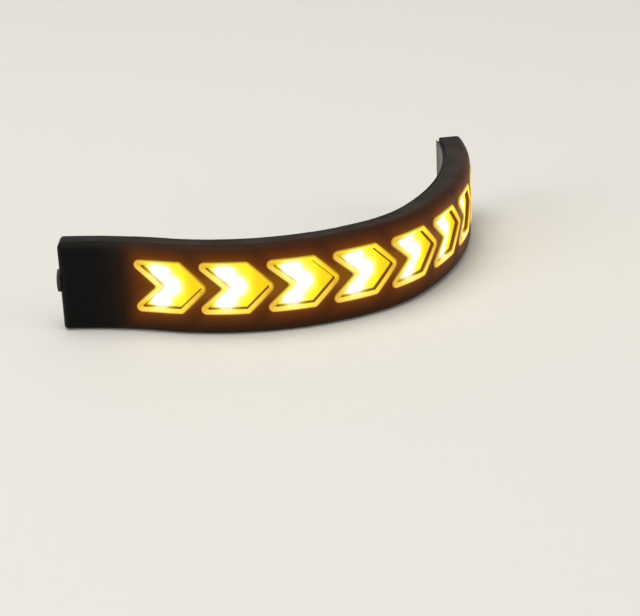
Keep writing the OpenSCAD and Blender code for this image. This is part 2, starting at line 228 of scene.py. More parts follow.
arc_starts = [(0.0, Vector((0, 0)) - MIDDLE)]
for radius, turn_in, turn_out in zip(RADII, JOINTS, JOINTS[1:]):
    along, corner = arc_starts[-1]
    step = Vector((math.sin(turn_out) - math.sin(turn_in), math.cos(turn_in) - math.cos(turn_out)))
    arc_starts.append((along + radius * (turn_out - turn_in), corner + radius * step))


def arc_centre(i):
    return arc_starts[i][1] + RADII[i] * Vector((-math.sin(JOINTS[i]), math.cos(JOINTS[i])))


def heading_at(along):
    """The number of the arc at a distance along the front face, and the heading there."""
    i = max(n for n in ARCS if n == 0 or along >= arc_starts[n][0])
    return i, JOINTS[i] + (along - arc_starts[i][0]) / RADII[i]


def place_on_strip(along):
    """The point of the strip's plan at a distance along its front face."""
    i, heading = heading_at(along)
    return arc_centre(i) + RADII[i] * Vector((math.sin(heading), -math.cos(heading)))


print("arcs start at", [round(s[0] / MM, 2) for s in arc_starts], "mm")

# %% [markdown]
# Node trees can't call such a function, so the same path is also drawn as a curve of short straight
# steps. A Sample Curve node reads a point and a direction from it. It is removed at the end.

# %% The path as a curve, for the node trees
PATH_STEP = 0.25 * MM
path_points = round(STRIP_LENGTH / PATH_STEP) + 1
path_data = bpy.data.curves.new("front_face_path", "CURVE")
path_data.dimensions = "3D"
spline = path_data.splines.new("POLY")
spline.points.add(path_points - 1)
for i, point in enumerate(spline.points):
    point.co = (*place_on_strip(i * PATH_STEP), 0.0, 1.0)
path = new_object("front_face_path", path_data)
print("path points", path_points)

# %% [markdown]
# Each window of the real lamp holds a lens of clear silicone: a raised rim, steep walls and a sunk
# floor that spreads the light. It could be cut with booleans, but a lens drawn as rings of points
# gives clean rounded edges. The arrow has six corners. A ring is that outline grown or shrunk by a
# distance, and each ring has the same number of points, so that neighbours join in plain quads.

# %% The arrow outline
WINDOW_COUNT = 8
WINDOWS = range(1, WINDOW_COUNT + 1)
WINDOW_PITCH = 18 * MM
FIRST_WINDOW = 31.8 * MM
WINDOW_HEIGHT = 13.5 * MM
ARROW_POINT = 9.57
ARROW_SHOULDER = 1.85
ARROW_NOTCH = 5.3
ARROW_TAIL = 13.5
ARROW_HALF = 7.5
ARROW_CORNERS = [(ARROW_POINT, 0), (ARROW_SHOULDER, ARROW_HALF), (-ARROW_TAIL, ARROW_HALF),
                 (-ARROW_NOTCH, 0), (-ARROW_TAIL, -ARROW_HALF), (ARROW_SHOULDER, -ARROW_HALF)]
CORNER_RADII = [2.0, 1.2, 1.5, -0.7, 1.5, 1.2]
SMALLEST_RADIUS = 0.3
CORNER_STEPS = 8
EDGE_STEPS = 12


def offset_corner(before, at, after, grow):
    """The corner of two edges that are both moved outwards by a distance."""
    one = (at - before).normalized()
    two = (after - at).normalized()
    out = Vector((one.y, -one.x))
    lean_out = Vector((two.y, -two.x))
    return at + (out + lean_out) * grow / (1 + out.dot(lean_out))


def arrow_ring(grow):
    """The arrow's outline in millimetres, grown by a distance: round corners and divided edges."""
    corners = [Vector(c) for c in ARROW_CORNERS]
    moved = [offset_corner(corners[i - 1], corners[i], corners[(i + 1) % 6], grow) for i in range(6)]
    arcs = []
    for i, corner in enumerate(moved):
        radius = max(SMALLEST_RADIUS, CORNER_RADII[i] + grow if CORNER_RADII[i] > 0 else -CORNER_RADII[i])
        to_last = (moved[i - 1] - corner).normalized()
        to_next = (moved[(i + 1) % 6] - corner).normalized()
        half = to_last.angle(to_next) / 2
        centre = corner + (to_last + to_next).normalized() * radius / math.sin(half)
        start = corner + to_last * radius / math.tan(half) - centre
        end = corner + to_next * radius / math.tan(half) - centre
        turn = -start.angle_signed(end)
        arcs.append([centre + Matrix.Rotation(turn * n / CORNER_STEPS, 2) @ start
                     for n in range(CORNER_STEPS + 1)])
    ring = []
    for arc, following in zip(arcs, arcs[1:] + arcs[:1]):
        ring += arc
        ring += [arc[-1].lerp(following[0], n / EDGE_STEPS) for n in range(1, EDGE_STEPS)]
    return ring


print("points in a ring", len(arrow_ring(0)))

# %% [markdown]
# The section of the lens runs from the hidden flange up the outer wall, over the rounded rim, down
# the inner wall and out onto the floor. The floor and the back are filled with an even net of
# triangles. Each point keeps three things as attributes, for the pattern of the light: its place in
# the window, how far inside the outline it stands, and whether its edge faces up or down.

# %% The section of the lens
RIM_PROUD = 0.3
RIM_WIDTH = 1.45
RIM_OUTER_ROUND = 0.3
RIM_INNER_ROUND = 0.25
FLOOR_DEPTH = 1.0
FLOOR_FILLET = 0.15
FOOT_SHADE = 0.35
LENS_GAP = 0.05
FLANGE_FRONT = 1.65
FLANGE_BACK = 2.45
FLANGE_WIDTH = 0.5
ROUND_STEPS = 5
RIM, WALL, FLOOR = 0, 1, 2


def quarter(middle_grow, middle_depth, radius, first, last):
    """Points of a rounding in the section, from one angle to another: pairs of growth and depth."""
    angles = [math.radians(first + (last - first) * n / ROUND_STEPS) for n in range(ROUND_STEPS + 1)]
    return [(middle_grow + radius * math.cos(a), middle_depth - radius * math.sin(a)) for a in angles]


rim_section = [
    (FLANGE_WIDTH, FLANGE_BACK), (FLANGE_WIDTH, FLANGE_FRONT), (-LENS_GAP, FLANGE_FRONT),
    *quarter(-LENS_GAP - RIM_OUTER_ROUND, RIM_OUTER_ROUND - RIM_PROUD, RIM_OUTER_ROUND, 0, 90),
    *quarter(-RIM_WIDTH + RIM_INNER_ROUND, RIM_INNER_ROUND - RIM_PROUD, RIM_INNER_ROUND, 90, 180)]
lens_section = [(grow, depth, RIM) for grow, depth in rim_section] + [
    (-RIM_WIDTH, FLOOR_DEPTH - FLOOR_FILLET, WALL), (-RIM_WIDTH - FLOOR_FILLET, FLOOR_DEPTH, WALL),
    (-RIM_WIDTH - FLOOR_FILLET - FOOT_SHADE, FLOOR_DEPTH, FLOOR)]
print("rings in the section", len(lens_section))

# %% The flat lens
NET_STEP = 0.7
NET_CLEAR = 0.45


def fill(build, ring, depth, kind):
    """Fills a ring of points with an even net of triangles at one depth."""
    finish = build.faces.layers.int["finish"]
    inset = build.verts.layers.float["inset"]
    outline = [Vector((v.co.x, v.co.z)) for v in ring]
    inner = []
    reach = math.ceil(ARROW_TAIL / NET_STEP) + 1
    for i in range(-reach, reach):
        for j in range(-reach, reach):
            spot = Vector((i + 0.5 * (j % 2), j)) * NET_STEP * MM
            if min((spot - p).length for p in outline) > NET_CLEAR * NET_STEP * MM:
                inner.append(spot)
    count = len(outline)
    edges = [(i, (i + 1) % count) for i in range(count)]
    points, _, faces, *_ = delaunay_2d_cdt(outline + inner, edges, [], 1, 1e-9)
    made = list(ring) + [build.verts.new((p.x, depth * MM, p.y)) for p in points[count:]]
    for vertex in made[count:]:
        vertex[inset] = ring[0][inset]
    for face in faces:
        build.faces.new([made[i] for i in face])[finish] = kind


def flat_lens():
    """The lens as it would lie on a straight strip: x along it, y into it, z up from its middle."""
    build = bmesh.new()
    finish = build.faces.layers.int.new("finish")
    inset = build.verts.layers.float.new("inset")
    facing = build.verts.layers.float.new("facing")
    upward = [(outer - inner).normalized().y for inner, outer in zip(arrow_ring(0), arrow_ring(1))]
    rings = []
    for grow, depth, _ in lens_section:
        rings.append([build.verts.new((p.x * MM, depth * MM, p.y * MM)) for p in arrow_ring(grow)])
        for vertex, turned in zip(rings[-1], upward):
            vertex[inset] = -grow
            vertex[facing] = turned
    for outer, inner, (_, _, kind) in zip(rings, rings[1:], lens_section[1:]):
        for i in range(len(outer)):
            j = (i + 1) % len(outer)
            build.faces.new((outer[i], outer[j], inner[j], inner[i]))[finish] = kind
    fill(build, rings[-1], FLOOR_DEPTH, FLOOR)
    fill(build, rings[0], FLANGE_BACK, RIM)
    unused = [vertex for vertex in build.verts if not vertex.link_faces]
    bmesh.ops.delete(build, geom=unused, context="VERTS")
    bmesh.ops.recalc_face_normals(build, faces=build.faces)
    mesh = bpy.data.meshes.new("flat_lens")
    build.to_mesh(mesh)
    build.free()
    places = mesh.attributes.new("in_window", "FLOAT_VECTOR", "POINT")
    for vertex, place in zip(mesh.vertices, places.data):
        place.vector = vertex.co / MM
    for vertex in mesh.vertices:
        vertex.co.z += WINDOW_HEIGHT
    mesh.shade_smooth()
    return mesh


lens_mesh = flat_lens()
print("flat lens", len(lens_mesh.vertices), "points", len(lens_mesh.polygons), "faces")

# %% [markdown]
# A flat piece is bent onto the strip by Geometry Nodes. The CAD windows are cut straight in from
# the front, so a point keeps its distance across the window and only its depth follows the bend.
# The tree finds the place along the path that stands at that distance: it guesses, looks how far
# off the guess is, and puts that right, four times over.

# %% Build a tree, and run it on a piece
def new_tree(name, inputs):
    """A tree that takes a geometry, the path and more named inputs: itself, its input and its output."""
    tree = bpy.data.node_groups.new(name, "GeometryNodeTree")
    for title, kind in {"Geometry": "Geometry", "Path": "Object", **inputs}.items():
        tree.interface.new_socket(title, in_out="INPUT", socket_type="NodeSocket" + kind)
    tree.interface.new_socket("Geometry", in_out="OUTPUT", socket_type="NodeSocketGeometry")
    return tree, add(tree, "NodeGroupInput"), add(tree, "NodeGroupOutput")


def run_tree(piece, tree, values):
    """Runs a node tree on a piece and keeps its result as a plain mesh."""
    runner = piece.modifiers.new(tree.name, "NODES")
    runner.node_group = tree
    for item in tree.interface.items_tree:
        if item.in_out == "INPUT" and item.name in values:
            runner[item.identifier] = values[item.name]
    depsgraph = bpy.context.evaluated_depsgraph_get()
    mesh = bpy.data.meshes.new_from_object(piece.evaluated_get(depsgraph), depsgraph=depsgraph)
    piece.modifiers.clear()
    piece.data = mesh
    return piece


def behind_path(tree, curve, along, depth):
    """Nodes for the point at a depth behind a place on the path, and for the path's direction there."""
    sample = add(tree, "GeometryNodeSampleCurve", {"Curves": curve, "Length": along}, mode="LENGTH")
    heading = sample.outputs["Tangent"]
    inward = add(tree, "ShaderNodeVectorMath", {0: (0, 0, 1), 1: heading}, operation="CROSS_PRODUCT")
    deep = add(tree, "ShaderNodeVectorMath", {0: inward, "Scale": depth}, operation="SCALE")
    point = add(tree, "ShaderNodeVectorMath", {0: sample.outputs["Position"], 1: deep}, operation="ADD")
    return point, heading


print("helpers", new_tree.__name__, run_tree.__name__, behind_path.__name__)

# %% The bend tree
BEND_ROUNDS = 4
bend, given, result = new_tree("Bend onto the strip", {"Place": "Float"})
curve = add(bend, "GeometryNodeObjectInfo", {"Object": given.outputs["Path"]}).outputs["Geometry"]
flat = add(bend, "ShaderNodeSeparateXYZ", {0: add(bend, "GeometryNodeInputPosition")})
here, heading = behind_path(bend, curve, given.outputs["Place"], 0.0)
guess = add(bend, "ShaderNodeMath", {0: flat.outputs["X"], 1: given.outputs["Place"]}, operation="ADD")
start = add(bend, "GeometryNodeStoreNamedAttribute", {
    "Geometry": given.outputs["Geometry"], "Name": "along", "Value": guess}, data_type="FLOAT")
round_in = add(bend, "GeometryNodeRepeatInput", {"Iterations": BEND_ROUNDS})
round_out = add(bend, "GeometryNodeRepeatOutput")
round_in.pair_with_output(round_out)
feed(round_in, {"Geometry": start})
guess = add(bend, "GeometryNodeInputNamedAttribute", {"Name": "along"}, data_type="FLOAT")
there, _ = behind_path(bend, curve, guess, flat.outputs["Y"])
apart = add(bend, "ShaderNodeVectorMath", {0: there, 1: here}, operation="SUBTRACT")
reached = add(bend, "ShaderNodeVectorMath", {0: apart, 1: heading}, operation="DOT_PRODUCT").outputs["Value"]
missed = add(bend, "ShaderNodeMath", {0: flat.outputs["X"], 1: reached}, operation="SUBTRACT")
better = add(bend, "ShaderNodeMath", {0: guess, 1: missed}, operation="ADD")
again = add(bend, "GeometryNodeStoreNamedAttribute", {
    "Geometry": round_in.outputs["Geometry"], "Name": "along", "Value": better}, data_type="FLOAT")
feed(round_out, {"Geometry": again})
height = add(bend, "ShaderNodeCombineXYZ", {"Z": flat.outputs["Z"]})
final = add(bend, "ShaderNodeVectorMath", {0: there, 1: height}, operation="ADD")
feed(result, {"Geometry": add(bend, "GeometryNodeSetPosition", {
    "Geometry": round_out.outputs["Geometry"], "Position": final})})
print("bend tree", len(bend.nodes), "nodes")

# %% [markdown]
# The lens tree bends one lens into its window and gives its rim, walls and floor their finishes.
# A face says which it is by a number that was set when its ring was drawn.

# %% The lens tree
lens_tree, given, result = new_tree("Lens in its window", {
    "Place": "Float", "Rim finish": "Material", "Wall finish": "Material", "Floor finish": "Material"})
bent = add(lens_tree, "GeometryNodeGroup", node_tree=bend)
feed(bent, {title: given.outputs[title] for title in ("Geometry", "Path", "Place")})
shape = add(lens_tree, "GeometryNodeRealizeInstances", {"Geometry": bent})
kind = add(lens_tree, "GeometryNodeInputNamedAttribute", {"Name": "finish"}, data_type="INT")
for number, title in ((RIM, "Rim finish"), (WALL, "Wall finish"), (FLOOR, "Floor finish")):
    chosen = add(lens_tree, "FunctionNodeCompare", {2: kind, 3: number}, data_type="INT", operation="EQUAL")
    shape = add(lens_tree, "GeometryNodeSetMaterial", {
        "Geometry": shape, "Selection": chosen, "Material": given.outputs[title]})
feed(result, {"Geometry": shape})
print("lens tree", len(lens_tree.nodes), "nodes")

# %% [markdown]
# The light of a window. Three amber diodes stand behind the left half of the arrow, one in the
# middle and one in each arm, and each burns a white spot into the floor. The spots run together
# into a bent band. Away from it the floor turns yellow, then amber at the point and in the tails.
# The pattern needs only the place in the window that each point of the lens keeps.

# %% Where a point stands in the light
MIDDLE_DIODE = -1.35
ARM_DIODE = (-4.4, 4.3)
SPOT_BLEND = 4.2
SPOT_RAGGED = 0.5
CLOUD_SIZE = 1.67


def light_place(tree):
    """Nodes for a point in its window, in mm: its distance from the nearest diode, its x and its depth."""
    place = add(tree, "ShaderNodeAttribute", attribute_name="in_window").outputs["Vector"]
    local = add(tree, "ShaderNodeSeparateXYZ", {0: place})
    high = add(tree, "ShaderNodeMath", {0: local.outputs["Z"]}, operation="ABSOLUTE")
    flat = add(tree, "ShaderNodeCombineXYZ", {"X": local.outputs["X"], "Y": high})
    spots = [add(tree, "ShaderNodeVectorMath", {0: flat, 1: (x, z, 0)}, operation="DISTANCE").outputs["Value"]
             for x, z in ((MIDDLE_DIODE, 0), ARM_DIODE)]
    off = add(tree, "ShaderNodeMath", {0: spots[0], 1: spots[1], 2: SPOT_BLEND}, operation="SMOOTH_MIN")
    cloud = add(tree, "ShaderNodeTexNoise", {"Vector": place, "Scale": 1 / CLOUD_SIZE, "Detail": 3.0})
    ragged = add(tree, "ShaderNodeMath", {0: cloud, 1: SPOT_RAGGED, 2: -SPOT_RAGGED / 2},
                 operation="MULTIPLY_ADD")
    distance = add(tree, "ShaderNodeMath", {0: off, 1: ragged}, operation="ADD")
    return distance, local.outputs["X"], local.outputs["Y"]


def shade_along(tree, value, stops):
    """A colour that runs through the given stops as a value grows: (value, hex) pairs."""
    low, high = stops[0][0], stops[-1][0]
    share = add(tree, "ShaderNodeMapRange", {"Value": value, "From Min": low, "From Max": high})
    made = add(tree, "ShaderNodeValToRGB", {0: share})
    elements = made.color_ramp.elements
    while len(elements) < len(stops):
        elements.new(0.5)
    for element, (place, code) in zip(elements, stops):
        element.position = (place - low) / (high - low)
        element.color = colour(code)
    return made.outputs["Color"]


def foot_light(tree):
    """Nodes for the colour of the light at the foot of a wall: brown shade away from the diodes."""
    distance, _, _ = light_place(tree)
    return shade_along(tree, distance, [
        (2.0, "#F8ECB4"), (2.6, "#DCC468"), (3.2, "#B49420"), (4.2, "#8C6408"), (6.0, "#6C3800")])


def floor_light(tree):
    """Nodes for the colour of the light on a window's floor: the spots, then the point and the tails."""
    distance, x, _ = light_place(tree)
    light = shade_along(tree, distance, [
        (2.3, "#FFFFFF"), (2.85, "#FCFFB8"), (3.4, "#FAFC5E"), (4.4, "#FBF424")])
    for stops in ([(2.3, "#FFFFFF"), (3.0, "#FDF4C0"), (4.4, "#FDE070")],
                  [(-9.8, "#F6D8B0"), (-8.4, "#FCF0D8"), (-7.2, "#FFFFFF")]):
        light = add(tree, "ShaderNodeMix", {0: 1.0, 6: light, 7: shade_along(tree, x, stops)},
                    data_type="RGBA", blend_type="MULTIPLY").outputs[2]
    return light


print("lit spots of a window at x and z, in mm", (MIDDLE_DIODE, 0), ARM_DIODE, "and its mirror image")

# %% [markdown]
# The floor of a lens is clear silicone with a fine matt texture that spreads the light. Its own
# colour is a deep amber, so that the light decides what the eye sees. The rim is the same silicone,
# lit from inside: it takes the floor's light at its inner edge, most where that edge faces up, and
# falls to amber at its outer edge. It is dimmest round the tails, which lie farthest back from the
# diodes. The foot of a wall stands in brown shade, except beside the hot band, and the shade runs
# out a little way onto the floor.

# %% The lens finishes
SILICONE_IOR = 1.41


def lit_silicone(name, body, roughness, grain):
    """Satin clear silicone with a fine moulded grain, given in mm: the material, tree and shader."""
    material, tree, shader, where = new_material(name)
    noise = add(tree, "ShaderNodeTexNoise", {"Vector": where, "Scale": 1 / (grain * MM), "Detail": 2.0})
    bump = add(tree, "ShaderNodeBump", {"Height": noise, "Strength": 0.25, "Distance": 0.03 * MM})
    feed(shader, {"Base Color": colour(body), "Roughness": roughness, "IOR": SILICONE_IOR,
                  "Specular IOR Level": 0.3, "Emission Strength": 1.0, "Normal": bump})
    return material, tree, shader


FOOT = RIM_WIDTH + FLOOR_FILLET
floor_finish, tree, shader = lit_silicone("amber light through matt clear silicone", "#3E2802", 0.5, 0.35)
inset = add(tree, "ShaderNodeAttribute", attribute_name="inset").outputs["Fac"]
clear = add(tree, "ShaderNodeMapRange", {"Value": inset, "From Min": FOOT, "From Max": FOOT + FOOT_SHADE},
            interpolation_type="SMOOTHSTEP")
lit = add(tree, "ShaderNodeMix", {0: clear, 6: foot_light(tree), 7: floor_light(tree)}, data_type="RGBA")
feed(shader, {"Emission Color": lit.outputs[2]})

rim_finish, tree, shader = lit_silicone("rim of satin clear silicone, lit from inside", "#5E3E08", 0.38, 0.3)
inset, facing = [add(tree, "ShaderNodeAttribute", attribute_name=name).outputs["Fac"]
                 for name in ("inset", "facing")]
distance, x, _ = light_place(tree)
warm = shade_along(tree, distance, [
    (3.0, "#FCEE74"), (5.0, "#F8DC5C"), (7.2, "#EEC244"), (8.6, "#CC9636"), (10.5, "#BC842C")])
edge = shade_along(tree, inset, [(0.0, "#9C8060"), (0.25, "#D8CCB8"), (0.6, "#FFFFFF")])
dimmed = shade_along(tree, x, [(-11.5, "#D8BEF0"), (-8.5, "#EEDCC8"), (-6.0, "#FFFCB4")])
own, through = [add(tree, "ShaderNodeMix", {0: 1.0, 6: light, 7: tint}, data_type="RGBA",
                    blend_type="MULTIPLY").outputs[2]
                for light, tint in ((warm, edge), (floor_light(tree), dimmed))]
most = add(tree, "ShaderNodeMapRange", {"Value": facing, "From Min": -0.8, "From Max": 0.8,
                                        "To Min": 0.35, "To Max": 0.95})
share = add(tree, "ShaderNodeMapRange", {"Value": inset, "From Min": 0.15, "From Max": 1.0, "To Max": most},
            interpolation_type="SMOOTHSTEP")
both = add(tree, "ShaderNodeMix", {0: share, 6: own, 7: through}, data_type="RGBA")
feed(shader, {"Emission Color": both.outputs[2]})

wall_finish, tree, shader = lit_silicone("shaded wall of clear silicone", "#2E1C02", 0.55, 0.3)
distance, _, depth = light_place(tree)
top = shade_along(tree, distance, [(2.0, "#FFF8C0"), (3.1, "#F0D060"), (5.0, "#D8A038")])
low = add(tree, "ShaderNodeMapRange", {"Value": depth, "From Min": -0.1, "From Max": 0.3},
          interpolation_type="SMOOTHSTEP")
shade = add(tree, "ShaderNodeMix", {0: low, 6: top, 7: foot_light(tree)}, data_type="RGBA")
feed(shader, {"Emission Color": shade.outputs[2]})
print("finishes", rim_finish.name, "|", wall_finish.name, "|", floor_finish.name)

# %% [markdown]
# A mould would cast the eight lenses alike, so the flat lens is drawn once and each copy is bent
# into its own window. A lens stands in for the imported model's plainer one, and stays in its box.

# %% The eight lenses
def corners(spots):
    """The lowest and the highest corner of some points."""
    return [Vector([pick(spot[i] for spot in spots) for i in range(3)]) for pick in (min, max)]


for number in WINDOWS:
    lens = run_tree(new_object(f"lens_{number}_lit", lens_mesh), lens_tree, {
        "Path": path, "Place": FIRST_WINDOW + (number - 1) * WINDOW_PITCH,
        "Rim finish": rim_finish, "Wall finish": wall_finish, "Floor finish": floor_finish})
    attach(lens, "root")
    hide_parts(f"lens_{number}")
    packed = [Vector(corner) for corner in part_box(f"lens_{number}")]
    low, high = corners([vertex.co for vertex in lens.data.vertices])
    past = max(*(packed[0] - low), *(high - packed[1]))
    print(lens.name, len(lens.data.polygons), "faces, past the packed lens by", round(past / MM, 3), "mm")

# %% [markdown]
# The housing is black silicone rubber from a blasted mould: satin, with a fine grain, slight waves
# and a little dust. The warm brown that the lit windows shine into it is a painted glow, put into the
# rubber's emission. That painted glow fades with the distance from the nearest arrow, so the finish
# first finds how far along the strip a point stands and how deep behind the front face. Each arc
# turns the point's direction from its centre into the first and its distance from the centre into
# the second. The arc that it lies on is the one that is used.

# %% How far along the strip a point stands, and how deep
def along_strip(tree, spot):
    """Nodes that turn a place in mm into its distance along the front face and its depth."""
    found = None
    for i in reversed(ARCS):
        centre, radius = arc_centre(i) / MM, RADII[i] / MM
        sign = math.copysign(1, radius)
        start = arc_starts[i][0] / MM - radius * JOINTS[i]
        off = add(tree, "ShaderNodeVectorMath", {
            0: spot, 1: (sign, -sign, 0), 2: (-sign * centre.x, sign * centre.y, 0)},
                  operation="MULTIPLY_ADD")
        side, front, _ = add(tree, "ShaderNodeSeparateXYZ", {0: off}).outputs
        heading = add(tree, "ShaderNodeMath", {0: side, 1: front}, operation="ARCTAN2")
        here = add(tree, "ShaderNodeMath", {0: heading, 1: radius, 2: start}, operation="MULTIPLY_ADD")
        away = add(tree, "ShaderNodeVectorMath", {0: off}, operation="LENGTH").outputs["Value"]
        deep = add(tree, "ShaderNodeMath", {0: away, 1: -sign, 2: radius}, operation="MULTIPLY_ADD")
        place = add(tree, "ShaderNodeCombineXYZ", {"X": here, "Y": deep}).outputs[0]
        if found:
            limit = arc_starts[i + 1][0] / MM
            inside = add(tree, "ShaderNodeMath", {0: here, 1: limit}, operation="LESS_THAN")
            place = add(tree, "ShaderNodeMix", {0: inside, 4: found, 5: place}, data_type="VECTOR").outputs[1]
        found = place
    return add(tree, "ShaderNodeSeparateXYZ", {0: found}).outputs[:2]


print("arc centres, in mm", [[round(v / MM, 1) for v in arc_centre(i)] for i in ARCS])

# %% [markdown]
# The distance from an arrow is the largest of its distances from four lines: the slanting edge of
# the point, the slanting edge of the notch, a line across the tails and the straight upper edge.
# The window is the same above and below its middle, so the height is taken without its sign. In
# the notch the rubber gets light from both sides, so the distance from that edge counts for less.

# %% How far from an arrow a point stands
TAIL_LINE = 9.5
NOTCH_SHARE = 0.5
ARROW_LINES = [(1, (ARROW_POINT - ARROW_SHOULDER) / ARROW_HALF, ARROW_POINT, 1.0),
               (-1, -(ARROW_TAIL - ARROW_NOTCH) / ARROW_HALF, ARROW_NOTCH, NOTCH_SHARE),
               (-1, 0, TAIL_LINE, 1.0), (0, 1, ARROW_HALF, 1.0)]
LINE_BLEND = 3.5


def off_arrow(tree, x, high):
    """Nodes for the distance from an arrow window, from x past its middle and the height above it."""
    place = add(tree, "ShaderNodeCombineXYZ", {"X": x, "Y": high, "Z": 1.0})
    farthest = None
    for run_x, run_z, reach, share in ARROW_LINES:
        scale = share / math.hypot(run_x, run_z)
        line = [scale * value for value in (run_x, run_z, -reach)]
        past = add(tree, "ShaderNodeVectorMath", {0: place, 1: line},
                   operation="DOT_PRODUCT").outputs["Value"]
        farthest = past if farthest is None else add(
            tree, "ShaderNodeMath", {0: farthest, 1: past, 2: LINE_BLEND}, operation="SMOOTH_MAX")
    return farthest


print("lines that bound an arrow's upper half", len(ARROW_LINES))

# %% [markdown]
# Two windows can lie near one point: the arrow that it stands beside, and the tails of the next
# one, which reach back over this one's point. The nearer of the two decides the glow. The strip is
# cut into cells of one window each, so that the same sum serves all eight.

# %% The painted glow in the rubber
CELL_START = 6.0
CELL_BLEND = 5.0
NO_WINDOW = 100.0
PITCH = WINDOW_PITCH / MM
FIRST = FIRST_WINDOW / MM
rubber, tree, shader, where = new_material("black silicone rubber, moulded satin")
in_mm = add(tree, "ShaderNodeVectorMath", {0: where, "Scale": 1 / MM}, operation="SCALE")
along, deep = along_strip(tree, in_mm)
cell = add(tree, "ShaderNodeMath", {0: along, 1: 1 / PITCH, 2: (CELL_START - FIRST) / PITCH},
           operation="MULTIPLY_ADD")
whole = add(tree, "ShaderNodeMath", {0: cell}, operation="FLOOR")
window = add(tree, "ShaderNodeClamp", {"Value": whole, "Min": 0.0, "Max": WINDOW_COUNT - 1.0})
past_first = add(tree, "ShaderNodeMath", {0: along, 1: FIRST}, operation="SUBTRACT")
from_own = add(tree, "ShaderNodeMath", {0: window, 1: -PITCH, 2: past_first}, operation="MULTIPLY_ADD")
from_next = add(tree, "ShaderNodeMath", {0: from_own, 1: PITCH}, operation="SUBTRACT")
level = add(tree, "ShaderNodeSeparateXYZ", {0: in_mm}).outputs["Z"]
above = add(tree, "ShaderNodeMath", {0: level, 1: WINDOW_HEIGHT / MM}, operation="SUBTRACT")
height = add(tree, "ShaderNodeMath", {0: above}, operation="ABSOLUTE")
is_last = add(tree, "ShaderNodeMath", {0: window, 1: WINDOW_COUNT - 1.5}, operation="GREATER_THAN")
following = add(tree, "ShaderNodeMath", {0: is_last, 1: NO_WINDOW, 2: off_arrow(tree, from_next, height)},
                operation="MULTIPLY_ADD")
nearer = add(tree, "ShaderNodeMath", {0: off_arrow(tree, from_own, height), 1: following, 2: CELL_BLEND},
             operation="SMOOTH_MIN")
beside = add(tree, "ShaderNodeMath", {0: nearer, 1: 0.0}, operation="MAXIMUM")
off_window = add(tree, "ShaderNodeVectorMath", {
    0: add(tree, "ShaderNodeCombineXYZ", {"X": beside, "Y": deep})}, operation="LENGTH").outputs["Value"]
# painted glow: emission on the rubber, which is no lamp, stands in for the light of the lit windows falling
# on it
painted_glow = shade_along(tree, off_window, [
    (0.0, "#7E4C00"), (0.4, "#6E3C00"), (0.9, "#642F00"), (2.2, "#4E2300"), (3.6, "#361700"),
    (5.5, "#1C0C00"), (9.0, "#0A0400"), (13.0, "#000000")])
feed(shader, {"Emission Color": painted_glow, "Emission Strength": 1.0})
print("painted_glow", len(tree.nodes), "nodes")

# %% [markdown]
# Under the painted glow, the rubber itself is nearly black. Its colour and its shine come from
# three patterns of noise: broad waves where the soft strip isn't quite even, the grain of the
# blasted mould, drawn a little coarser than it is so that it shows, and specks of pale dust.

# %% The rubber's own look
WAVE_LENGTH = 8.3
GRAIN_SIZE = 0.31
DUST_SIZE = 1.1
NOISE_LOW, NOISE_HIGH = 0.3, 0.7
waves = add(tree, "ShaderNodeTexNoise", {"Vector": in_mm, "Scale": 1 / WAVE_LENGTH, "Detail": 2.0})
grain = add(tree, "ShaderNodeTexNoise", {"Vector": in_mm, "Scale": 1 / GRAIN_SIZE, "Detail": 3.0})
dust = add(tree, "ShaderNodeTexNoise", {
    "Vector": in_mm, "Scale": 1 / DUST_SIZE, "Detail": 6.0, "Roughness": 0.7})
speck = add(tree, "ShaderNodeMapRange", {"Value": dust, "From Min": 0.58, "From Max": 0.76, "To Max": 0.16})
base = add(tree, "ShaderNodeMix", {0: speck, 6: colour("#0C0B0A"), 7: colour("#403C38")}, data_type="RGBA")
rough = add(tree, "ShaderNodeMapRange", {"Value": waves, "From Min": NOISE_LOW, "From Max": NOISE_HIGH,
                                         "To Min": 0.42, "To Max": 0.55})
fine = add(tree, "ShaderNodeBump", {"Height": grain, "Strength": 0.35, "Distance": 0.05 * MM})
broad = add(tree, "ShaderNodeBump", {"Height": waves, "Strength": 0.6, "Distance": 0.25 * MM, "Normal": fine})
feed(shader, {"Base Color": base.outputs[2], "Roughness": rough, "Normal": broad,
              "IOR": SILICONE_IOR, "Specular IOR Level": 0.1})
print("housing finish", len(tree.nodes), "nodes")

# %% [markdown]
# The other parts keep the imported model's shapes, and each gets the finish of the real thing. Most
# of them wander between two near colours with a grain of their own: mixed rubber, moulded epoxy,
# cast silicone, fired ceramic. One helper draws that, and each call says what the part is made of.

# %% Finishes that wander between two colours
def mottled(name, dark, light, grain, rough, relief):
    """Two colours in patches of a size in mm, a roughness range and a relief in mm."""
    material, tree, shader, where = new_material(name)
    patches = add(tree, "ShaderNodeTexNoise", {"Vector": where, "Scale": 1 / (grain * MM), "Detail": 5.0})
    mixed = add(tree, "ShaderNodeMix", {0: patches, 6: colour(dark), 7: colour(light)}, data_type="RGBA")
    worn = add(tree, "ShaderNodeMapRange", {"Value": patches, "From Min": NOISE_LOW, "From Max": NOISE_HIGH,
                                            "To Min": rough[0], "To Max": rough[1]})
    bump = add(tree, "ShaderNodeBump", {"Height": patches, "Strength": 0.5, "Distance": relief * MM})
    feed(shader, {"Base Color": mixed.outputs[2], "Roughness": worn, "Normal": bump})
    return material, shader


# a grommet of the same rubber, a little more matt because it is handled when the cable goes in
gland_rubber, _ = mottled("black rubber grommet, moulded", "#100F0E", "#1E1C1A", 0.5, (0.5, 0.7), 0.05)
# a second, matt shot of black silicone behind the windows, which keeps each window's light apart
mask_rubber, _ = mottled("matt black silicone light mask", "#0C0C0C", "#181716", 0.4, (0.7, 0.85), 0.04)
# two-part silicone poured in from behind: it levels to a smooth, faintly rippled skin
poured, shader = mottled(
    "poured black silicone, level and glossy", "#0D0D0E", "#191919", 6.0, (0.2, 0.32), 0.15)
feed(shader, {"IOR": SILICONE_IOR})
